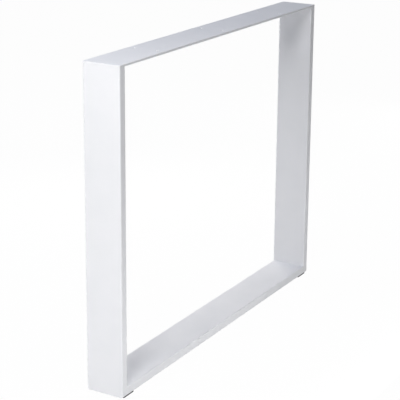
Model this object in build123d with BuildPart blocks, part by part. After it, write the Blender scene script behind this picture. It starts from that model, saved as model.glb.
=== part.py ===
"""Table leg frame: a rectangular loop of steel that carries one end of a table top.

Two posts and a bottom rail of flat rectangular tube are mitred and welded into a U, a flat
steel plate with six screw holes is welded across the top, and two glides are pushed into the
underside of the rail.  Millimetres, +Z up, width along X, origin on the floor under the middle.
"""

from build123d import *
import os

# Overall sizes
height = 720.0  # floor to the top of the plate
width = 880.0  # outside to outside of the posts
depth = 90.0  # the wide side of the tube, and the depth of the plate

# Tube of the posts and the rail
tube_thickness = 20.0  # the narrow side of the tube, seen from the front
tube_wall = 2.0
tube_radius = 3.0  # outside radius of the rolled corners

# Top plate
plate_thickness = 5.0
plate_edge_radius = 0.8  # dressed long and short edges, top and bottom
hole_diameter = 8.0
hole_rim = 0.5  # broken edge of the holes, on both faces
hole_end_distance = 165.0  # from each end of the plate to its outer holes
hole_edge_distance = 17.0  # from each long edge of the plate to the holes
hole_columns = 3
hole_rows = 2

# Glides
glide_thickness = 3.0
glide_length = 38.0  # along the rail
glide_inset = 1.5  # from each long side of the rail to the glide
glide_corner_radius = 3.0
glide_chamfer = 0.4
glide_end_distance = 27.5  # from the outside of the post to the middle of the glide
peg_diameter = 6.0
peg_length = 7.0
peg_chamfer = 1.0
peg_end_distance = 18.0  # from each end of the glide to its peg
peg_clearance = 0.1  # all round the peg in its hole

# Places worked out from the sizes
rail_bottom = glide_thickness
plate_bottom = height - plate_thickness
post_x = width / 2 - tube_thickness / 2
bore_radius = tube_radius - tube_wall
glide_depth = depth - 2 * glide_inset
glide_x = width / 2 - glide_end_distance
peg_spacing = glide_depth - 2 * peg_end_distance
hole_pitch = (width - 2 * hole_end_distance) / (hole_columns - 1)
hole_spacing = (depth - 2 * hole_edge_distance) / (hole_rows - 1)

os.makedirs("parts", exist_ok=True)


def mitre_plane(side):
    """The 45 degree cut from the outer bottom corner of one side, facing its post."""
    return Plane(origin=(side * width / 2, 0, rail_bottom), x_dir=(0, 1, 0), z_dir=(side, 0, 1))


def draw_tube_section(across, along):
    """Draws the rolled tube's section in the sketch that is open, given its two outside sizes."""
    RectangleRounded(across, along, tube_radius)
    RectangleRounded(across - 2 * tube_wall, along - 2 * tube_wall, bore_radius, mode=Mode.SUBTRACT)


def finish(part, name):
    """Names a finished piece and writes it as its own file."""
    part.label = name
    export_step(part, f"parts/{name}.step")


# Posts: upright tubes, cut to a mitre at the foot and square under the plate
for name, side in (("left_post", -1), ("right_post", 1)):
    foot_plane = Plane(origin=(side * post_x, 0, rail_bottom))
    with BuildPart() as post:
        with BuildSketch(foot_plane):
            draw_tube_section(tube_thickness, depth)
        extrude(amount=plate_bottom - rail_bottom)
        split(bisect_by=mitre_plane(side), keep=Keep.TOP)
    finish(post.part, name)

# Bottom rail: the same tube lying flat, mitred at both ends, with holes for the glides' pegs
rail_end = (-width / 2, 0, rail_bottom + tube_thickness / 2)
rail_plane = Plane(origin=rail_end, x_dir=(0, 1, 0), z_dir=(1, 0, 0))
with BuildPart() as bottom_rail:
    with BuildSketch(rail_plane):
        draw_tube_section(depth, tube_thickness)
    extrude(amount=width)
    for side in (-1, 1):
        split(bisect_by=mitre_plane(side), keep=Keep.BOTTOM)
    with BuildSketch(Plane.XY.offset(rail_bottom)):
        with GridLocations(2 * glide_x, peg_spacing, 2, 2):
            Circle(peg_diameter / 2 + peg_clearance)
    extrude(amount=tube_wall, mode=Mode.SUBTRACT)
finish(bottom_rail.part, "bottom_rail")

# Top plate: flat bar across both posts, with three pairs of screw holes for the table top
with BuildPart() as top_plate:
    with BuildSketch(Plane.XY.offset(plate_bottom)):
        Rectangle(width, depth)
    extrude(amount=plate_thickness)
    fillet(top_plate.edges().filter_by(Axis.Z), tube_radius)  # flush with the posts' corners
    broad_faces = top_plate.faces().filter_by(Axis.Z)
    fillet(broad_faces.edges(), plate_edge_radius)
    with BuildSketch(Plane.XY.offset(plate_bottom)):
        with GridLocations(hole_pitch, hole_spacing, hole_columns, hole_rows):
            Circle(hole_diameter / 2)
    extrude(amount=plate_thickness, mode=Mode.SUBTRACT)
    rims = top_plate.edges().filter_by(GeomType.CIRCLE).filter_by(lambda edge: edge.radius == hole_diameter / 2)
    chamfer(rims, hole_rim)
finish(top_plate.part, "top_plate")

# Glides: moulded pads under the rail, almost as deep as it, each held by two pegs
for name, side in (("left_glide", -1), ("right_glide", 1)):
    floor_plane = Plane(origin=(side * glide_x, 0, 0))
    with BuildPart() as glide:
        with BuildSketch(floor_plane):
            RectangleRounded(glide_length, glide_depth, glide_corner_radius)
        extrude(amount=glide_thickness)
        chamfer(glide.faces().sort_by(Axis.Z)[0].edges(), glide_chamfer)
        with BuildSketch(floor_plane.offset(glide_thickness)):
            with GridLocations(0, peg_spacing, 1, 2):
                Circle(peg_diameter / 2)
        extrude(amount=peg_length)
        chamfer(glide.faces().sort_by(Axis.Z)[-2:].edges(), peg_chamfer)
    finish(glide.part, name)
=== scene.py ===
"""Finishes and stages a welded steel table leg frame: white powder coat, black glides, a pale
floor, soft lamps and the camera.  Run as a script; the CAD pieces stay where the frame puts them."""

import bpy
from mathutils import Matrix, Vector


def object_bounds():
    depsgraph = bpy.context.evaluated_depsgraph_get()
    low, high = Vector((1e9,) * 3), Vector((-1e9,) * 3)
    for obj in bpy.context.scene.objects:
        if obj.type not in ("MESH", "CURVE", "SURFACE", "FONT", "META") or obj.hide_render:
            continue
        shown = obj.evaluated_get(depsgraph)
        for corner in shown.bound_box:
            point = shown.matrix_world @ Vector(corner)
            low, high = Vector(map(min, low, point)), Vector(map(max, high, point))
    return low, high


bl_info = {
    "name": "Table Leg Frame",
    "version": (1, 0, 0),
    "blender": (4, 5, 0),
    "location": "View3D > Sidebar > Table Leg",
    "description": "Powder coat, glides and a pale studio for a welded steel table leg frame",
    "category": "Object",
}

from math import pi, radians

import bmesh
import bpy
from bpy.props import FloatProperty, FloatVectorProperty, PointerProperty, StringProperty
from mathutils import Matrix, Vector

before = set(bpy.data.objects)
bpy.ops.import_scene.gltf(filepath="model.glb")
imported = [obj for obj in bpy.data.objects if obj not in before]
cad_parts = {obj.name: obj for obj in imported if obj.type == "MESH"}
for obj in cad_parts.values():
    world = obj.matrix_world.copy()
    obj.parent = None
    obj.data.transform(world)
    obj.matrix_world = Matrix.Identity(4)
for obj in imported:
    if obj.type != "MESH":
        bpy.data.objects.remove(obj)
CAD_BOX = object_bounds()

# Lengths in metres, angles in degrees, colours as sRGB hex values
MM = 0.001
STEEL_NODES = ("left_post", "right_post", "bottom_rail", "top_plate")
GLIDE_NODES = ("left_glide", "right_glide")
MIDDLE = (0.0, 0.0, CAD_BOX[1][2] / 2)
WHITE = "#FFFFFF"
WARM_WHITE = "#FFFAF2"
COOL_WHITE = "#E4EBFF"

# Materials
COAT_IOR = 1.45
PLASTIC_IOR = 1.49
CLOUD_CONTRAST = 0.04  # how far the coat's roughness goes up and down from its middle
FLOW_ROUGHNESS = (0.48, 0.66)  # of the plastic, from its glossier to its duller patches
NOISE_RANGE = (0.3, 0.7)  # nearly all of a noise texture's values lie in it

# Floor and camera
FLOOR_SEGMENTS = 64
PICTURE_WIDTH = 400  # pixels, of the picture in which the focal length is given
SENSOR_WIDTH = 36.0  # millimetres
CLIP_END = 200.0

# Each lamp: its centre, the point it faces, its width and height, its watts and its colour
LAMPS = {
    "back_softbox": ((0.0, 2.4, 2.4), (0.0, 0.0, 0.0), 1.6, 1.2, 26.0, COOL_WHITE),
    "overhead_softbox": ((0.0, 0.0, 3.2), MIDDLE, 2.0, 2.0, 11.8, COOL_WHITE),
    "front_softbox": ((0.0, -3.2, 1.2), MIDDLE, 1.6, 1.6, 5.75, WHITE),
    "front_fill": ((-0.5, -1.0, 0.9), (-0.4, 0.0, 0.3), 0.5, 0.5, 1.13, WHITE),
    "right_softbox": ((2.4, 0.0, 0.5), (CAD_BOX[1][0], 0.0, MIDDLE[2]), 0.8, 0.8, 12.0, WHITE),
    "left_softbox": ((-2.1, 0.0, 1.75), MIDDLE, 0.8, 0.4, 9.2, WHITE),
    "left_key": ((-1.4, -0.36, 1.4), MIDDLE, 0.3, 0.3, 7.7, WHITE),
    "left_back_key": ((-1.4, 0.2, 1.4), MIDDLE, 0.25, 0.25, 3.0, WHITE),
    "left_foot_strip": ((-1.3, 0.0, 0.15), (CAD_BOX[0][0], 0.0, 0.15), 0.08, 0.3, 1.7, WHITE),
    "rail_fill": ((0.9, 0.9, 0.62), (0.1, 0.0, 0.0), 0.8, 0.2, 6.8, WARM_WHITE),
    "foot_strip": ((-0.1, -0.5, 0.04), (-0.1, -0.04, 0.05), 1.0, 0.05, 1.17, WHITE),
}


def linear_colour(hex_value):
    """An sRGB hex value such as "#EBECEE" as the linear colour that the shaders take."""
    channels = [int(hex_value[i:i + 2], 16) / 255 for i in (1, 3, 5)]
    return [c / 12.92 if c <= 0.04045 else ((c + 0.055) / 1.055) ** 2.4 for c in channels] + [1.0]


def add_node(tree, kind, settings=None, links=None):
    """Adds one node, sets its properties and inputs, and links its inputs from other nodes' outputs."""
    node = tree.nodes.new(kind)
    for name, value in (settings or {}).items():
        if isinstance(name, int) or name in node.inputs:
            node.inputs[name].default_value = value
        else:
            setattr(node, name, value)
    for name, output in (links or {}).items():
        tree.links.new(output, node.inputs[name])
    return node


def new_material(name):
    """An empty node material with its output node."""
    material = bpy.data.materials.new(name)
    material.use_nodes = True
    material.node_tree.nodes.clear()
    output = add_node(material.node_tree, "ShaderNodeOutputMaterial")
    return material, material.node_tree, output


def add_noise(tree, spacing, **settings):
    """A noise in the object's own coordinates, whose clumps are so many millimetres apart."""
    coords = add_node(tree, "ShaderNodeTexCoord").outputs["Object"]
    noise = add_node(tree, "ShaderNodeTexNoise", {"Scale": 1 / (spacing * MM), **settings},
                     {"Vector": coords})
    return noise.outputs["Fac"]


def add_bumps(tree, height, depth, **lower):
    """Bumps of so many millimetres, which may lie on the Normal of lower ones."""
    bumps = add_node(tree, "ShaderNodeBump", {"Strength": 1.0, "Distance": depth * MM},
                     {"Height": height, **lower})
    return bumps.outputs["Normal"]


def spread_noise(tree, noise, low, high):
    """A noise with its values spread between two ends."""
    mapped = add_node(tree, "ShaderNodeMapRange",
                      {"From Min": NOISE_RANGE[0], "From Max": NOISE_RANGE[1], "To Min": low, "To Max": high},
                      {"Value": noise})
    return mapped.outputs["Result"]


def white_powder_coat(settings):
    """White satin polyester powder coat on steel, sprayed dry and baked.

    The powder melts into a closed skin with a faint orange peel: low soft bumps a few millimetres
    apart, which mottle the light where it glances along a face.  A finer grain in the skin makes it
    satin, so neighbours are mirrored only as a haze.  Where the film is thinner it is a shade greyer
    and duller, in clouds about as wide as the spray.  Real peel is about 0.02 mm high and real grain
    less than 0.005 mm: both are too low to show, so both are drawn a few times as high.
    """
    material, tree, output = new_material("white_powder_coat")
    film = add_noise(tree, settings.cloud_spacing, Detail=2.0, Roughness=0.5)
    peel = add_noise(tree, settings.peel_spacing, Detail=1.0, Roughness=0.4)
    grain = add_noise(tree, settings.grain_spacing, Detail=2.0, Roughness=0.6)
    waves = add_bumps(tree, peel, settings.peel_depth)
    bumps = add_bumps(tree, grain, settings.grain_depth, Normal=waves)
    # The Mix node has several inputs of each name, so its colours are given by their places
    tone = add_node(tree, "ShaderNodeMix",
                    {"data_type": "RGBA", 6: linear_colour(settings.thin_colour),
                     7: linear_colour(settings.colour)},
                    {0: film})
    roughness = spread_noise(tree, film, settings.roughness + CLOUD_CONTRAST,
                             settings.roughness - CLOUD_CONTRAST)
    shader = add_node(tree, "ShaderNodeBsdfPrincipled", {"IOR": COAT_IOR},
                      {"Base Color": tone.outputs[2], "Roughness": roughness, "Normal": bumps})
    tree.links.new(shader.outputs["BSDF"], output.inputs["Surface"])
    return material


def black_polypropylene(settings):
    """Black injection-moulded polypropylene.

    The mould was spark eroded, so the pad has a fine even grain that scatters the light and keeps it
    matt and never quite black.  The flow of the melt leaves slightly glossier patches.  The real
    grain is about 0.1 mm apart: that is too fine to show, so it is drawn as coarse as it needs to.
    """
    material, tree, output = new_material("black_polypropylene")
    grain = add_noise(tree, settings.grain_spacing, Detail=3.0, Roughness=0.6)
    flow = add_noise(tree, settings.flow_spacing, Detail=2.0, Distortion=0.6)
    bumps = add_bumps(tree, grain, settings.grain_depth)
    roughness = spread_noise(tree, flow, *FLOW_ROUGHNESS)
    shader = add_node(tree, "ShaderNodeBsdfPrincipled",
                      {"Base Color": linear_colour(settings.colour), "IOR": PLASTIC_IOR},
                      {"Roughness": roughness, "Normal": bumps})
    tree.links.new(shader.outputs["BSDF"], output.inputs["Surface"])
    return material


def give_material(names, material):
    """Puts one material on CAD nodes, in place of all that they have."""
    for name in names:
        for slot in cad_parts[name].material_slots:
            slot.material = material


class LEG_PG_coat(bpy.types.PropertyGroup):
    """The white finish of the steel."""
    colour: StringProperty(
        name="Colour", description="sRGB hex value of the powder coat at its full film", default="#EFEFF1")
    thin_colour: StringProperty(
        name="Thin colour", description="sRGB hex value where the film is thinner", default="#E9EAEC")
    roughness: FloatProperty(
        name="Roughness", description="Satin is about 0.5, matt about 0.7",
        default=0.6, min=0.05, max=0.95, subtype="FACTOR")
    cloud_spacing: FloatProperty(
        name="Cloud spacing", description="Clouds of thicker and thinner film, in mm",
        default=60.0, min=5.0, max=500.0)
    peel_spacing: FloatProperty(
        name="Peel spacing", description="Orange peel, crest to crest, in mm",
        default=2.5, min=0.5, max=10.0)
    peel_depth: FloatProperty(
        name="Peel depth", description="Height of the orange peel, in mm", default=0.1, min=0.0, max=0.5)
    grain_spacing: FloatProperty(
        name="Grain spacing", description="Grain in the skin, crest to crest, in mm",
        default=0.4, min=0.05, max=3.0)
    grain_depth: FloatProperty(
        name="Grain depth", description="Height of the grain, in mm", default=0.012, min=0.0, max=0.1)


class LEG_PG_glide(bpy.types.PropertyGroup):
    """The black plastic of the glides."""
    colour: StringProperty(
        name="Colour", description="sRGB hex value of the plastic", default="#151517")
    grain_spacing: FloatProperty(
        name="Grain spacing", description="Moulded grain, crest to crest, in mm",
        default=0.6, min=0.1, max=5.0)
    grain_depth: FloatProperty(
        name="Grain depth", description="Height of the moulded grain, in mm",
        default=0.03, min=0.0, max=0.5)
    flow_spacing: FloatProperty(
        name="Flow spacing", description="Patches left by the melt's flow, in mm",
        default=12.0, min=1.0, max=100.0)


class LEG_PG_studio(bpy.types.PropertyGroup):
    """The floor, the even light and the camera."""
    floor_colour: StringProperty(
        name="Floor", description="sRGB hex value of the floor", default="#EDEDED")
    floor_radius: FloatProperty(
        name="Floor radius", description="Radius of the round floor", default=30.0, min=2.0, unit="LENGTH")
    floor_veil: FloatProperty(
        name="Floor veil", description="Share of plain white that the camera sees in the floor",
        default=0.98, min=0.0, max=1.0, subtype="FACTOR")
    room_light: FloatProperty(
        name="Room light", description="Strength of the even light all round",
        default=0.03, min=0.0, max=2.0)
    camera_place: FloatVectorProperty(
        name="Camera", description="Where the camera stands",
        size=3, default=(-2.5311, -1.4609, 1.2571), subtype="TRANSLATION")
    camera_azimuth: FloatProperty(
        name="Azimuth", description="Turn about Z, 0 looks along +Y, in degrees", default=-59.51)
    camera_elevation: FloatProperty(
        name="Elevation", description="How far the camera looks down, in degrees", default=15.25)
    camera_roll: FloatProperty(
        name="Roll", description="Tilt of the picture, in degrees", default=0.47)
    camera_focal: FloatProperty(
        name="Focal length", description="In pixels of a 400 pixel wide picture", default=1309.2)
    camera_shift_y: FloatProperty(
        name="Shift", description="Vertical lens shift, as a share of the picture", default=-0.15)


class LEG_OT_coat_steel(bpy.types.Operator):
    """Gives the posts, the rail and the plate their white powder coat."""
    bl_idname = "leg.coat_steel"
    bl_label = "Coat the steel"

    def execute(self, context):
        give_material(STEEL_NODES, white_powder_coat(context.scene.leg_coat))
        return {"FINISHED"}


class LEG_OT_mould_glides(bpy.types.Operator):
    """Gives the two glides their black plastic."""
    bl_idname = "leg.mould_glides"
    bl_label = "Mould the glides"

    def execute(self, context):
        give_material(GLIDE_NODES, black_polypropylene(context.scene.leg_glide))
        return {"FINISHED"}


class LEG_OT_set_stage(bpy.types.Operator):
    """Lays the pale floor, lights the room, hangs the lamps and sets the camera."""
    bl_idname = "leg.set_stage"
    bl_label = "Set the stage"

    def execute(self, context):
        studio = context.scene.leg_studio
        lay_floor(context.scene, studio)
        light_room(context.scene, studio)
        for name, lamp in LAMPS.items():
            hang_lamp(context.scene, name, *lamp)
        place_camera(context.scene, studio)
        context.scene.view_settings.view_transform = "Standard"
        return {"FINISHED"}


def seen_directly(tree):
    """1 where the camera sees a surface straight, in a mirror or through glass, and 0 for all other rays."""
    path = add_node(tree, "ShaderNodeLightPath")
    mirrored = add_node(tree, "ShaderNodeMath", {"operation": "MAXIMUM"},
                        {0: path.outputs["Is Glossy Ray"], 1: path.outputs["Is Transmission Ray"]})
    seen = add_node(tree, "ShaderNodeMath", {"operation": "MAXIMUM"},
                    {0: path.outputs["Is Camera Ray"], 1: mirrored.outputs["Value"]})
    return seen.outputs["Value"]


def lay_floor(scene, studio):
    """A round floor that the camera sees as almost white, but that still takes the object's shadow."""
    mesh = bpy.data.meshes.new("floor")
    disc = bmesh.new()
    bmesh.ops.create_circle(disc, cap_ends=True, radius=studio.floor_radius, segments=FLOOR_SEGMENTS)
    disc.to_mesh(mesh)
    disc.free()
    floor = bpy.data.objects.new("floor", mesh)
    scene.collection.objects.link(floor)
    material, tree, output = new_material("matt_white_floor")
    paint = add_node(tree, "ShaderNodeBsdfDiffuse", {"Color": linear_colour(studio.floor_colour)})
    white = add_node(tree, "ShaderNodeEmission", {"Color": linear_colour(WHITE), "Strength": 1.0})
    veil = add_node(tree, "ShaderNodeMath", {"operation": "MULTIPLY", 1: studio.floor_veil},
                    {0: seen_directly(tree)})
    mixed = add_node(tree, "ShaderNodeMixShader", {},
                     {"Fac": veil.outputs["Value"], 1: paint.outputs["BSDF"], 2: white.outputs["Emission"]})
    tree.links.new(mixed.outputs["Shader"], output.inputs["Surface"])
    mesh.materials.append(material)


def light_room(scene, studio):
    """An even white room: its strength lights the object, and the camera sees it as plain white."""
    world = bpy.data.worlds.new("white_room")
    world.use_nodes = True
    tree = world.node_tree
    tree.nodes.clear()
    lit, seen = (add_node(tree, "ShaderNodeBackground", {"Color": linear_colour(WHITE), "Strength": strength})
                 for strength in (studio.room_light, 1.0))
    mixed = add_node(tree, "ShaderNodeMixShader", {},
                     {"Fac": seen_directly(tree), 1: lit.outputs["Background"],
                      2: seen.outputs["Background"]})
    output = add_node(tree, "ShaderNodeOutputWorld")
    tree.links.new(mixed.outputs["Shader"], output.inputs["Surface"])
    scene.world = world


def hang_lamp(scene, name, place, target, width, height, watts, colour):
    """A soft rectangular lamp that faces a point and that the camera doesn't see."""
    lamp = bpy.data.lights.new(name, "AREA")
    lamp.shape = "RECTANGLE"
    lamp.size = width
    lamp.size_y = height
    lamp.energy = watts
    lamp.color = linear_colour(colour)[:3]
    holder = bpy.data.objects.new(name, lamp)
    holder.visible_camera = False
    facing = (Vector(target) - Vector(place)).to_track_quat("-Z", "Y")
    holder.matrix_world = Matrix.Translation(place) @ facing.to_matrix().to_4x4()
    scene.collection.objects.link(holder)


def place_camera(scene, studio):
    """The camera at the picture's viewpoint: turned about Z, tipped down and rolled a little."""
    data = bpy.data.cameras.new("camera")
    data.sensor_width = SENSOR_WIDTH
    data.lens = studio.camera_focal * SENSOR_WIDTH / PICTURE_WIDTH
    data.shift_y = studio.camera_shift_y
    data.clip_end = CLIP_END
    camera = bpy.data.objects.new("camera", data)
    turn = Matrix.Rotation(radians(studio.camera_azimuth), 4, "Z")
    tip = Matrix.Rotation(pi / 2 - radians(studio.camera_elevation), 4, "X")
    roll = Matrix.Rotation(radians(studio.camera_roll), 4, "Z")
    camera.matrix_world = Matrix.Translation(studio.camera_place) @ turn @ tip @ roll
    scene.collection.objects.link(camera)
    scene.camera = camera


class LEG_PT_table_leg(bpy.types.Panel):
    """The settings, and the steps in the order in which they are made."""
    bl_idname = "LEG_PT_table_leg"
    bl_label = "Table Leg Frame"
    bl_space_type = "VIEW_3D"
    bl_region_type = "UI"
    bl_category = "Table Leg"

    def draw(self, context):
        for group in GROUPS:
            settings = getattr(context.scene, group)
            for name in settings.__annotations__:
                self.layout.prop(settings, name)
        for step in STEPS:
            self.layout.operator(step.bl_idname)


GROUPS = {"leg_coat": LEG_PG_coat, "leg_glide": LEG_PG_glide, "leg_studio": LEG_PG_studio}
STEPS = (LEG_OT_coat_steel, LEG_OT_mould_glides, LEG_OT_set_stage)


def register():
    for name, group in GROUPS.items():
        bpy.utils.register_class(group)
        setattr(bpy.types.Scene, name, PointerProperty(type=group))
    for cls in (*STEPS, LEG_PT_table_leg):
        bpy.utils.register_class(cls)


def unregister():
    for cls in (LEG_PT_table_leg, *reversed(STEPS)):
        bpy.utils.unregister_class(cls)
    for name, group in GROUPS.items():
        delattr(bpy.types.Scene, name)
        bpy.utils.unregister_class(group)


def main():
    """Registers the add-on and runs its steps."""
    register()
    bpy.ops.leg.coat_steel()
    bpy.ops.leg.mould_glides()
    bpy.ops.leg.set_stage()


if __name__ == "__main__":
    main()
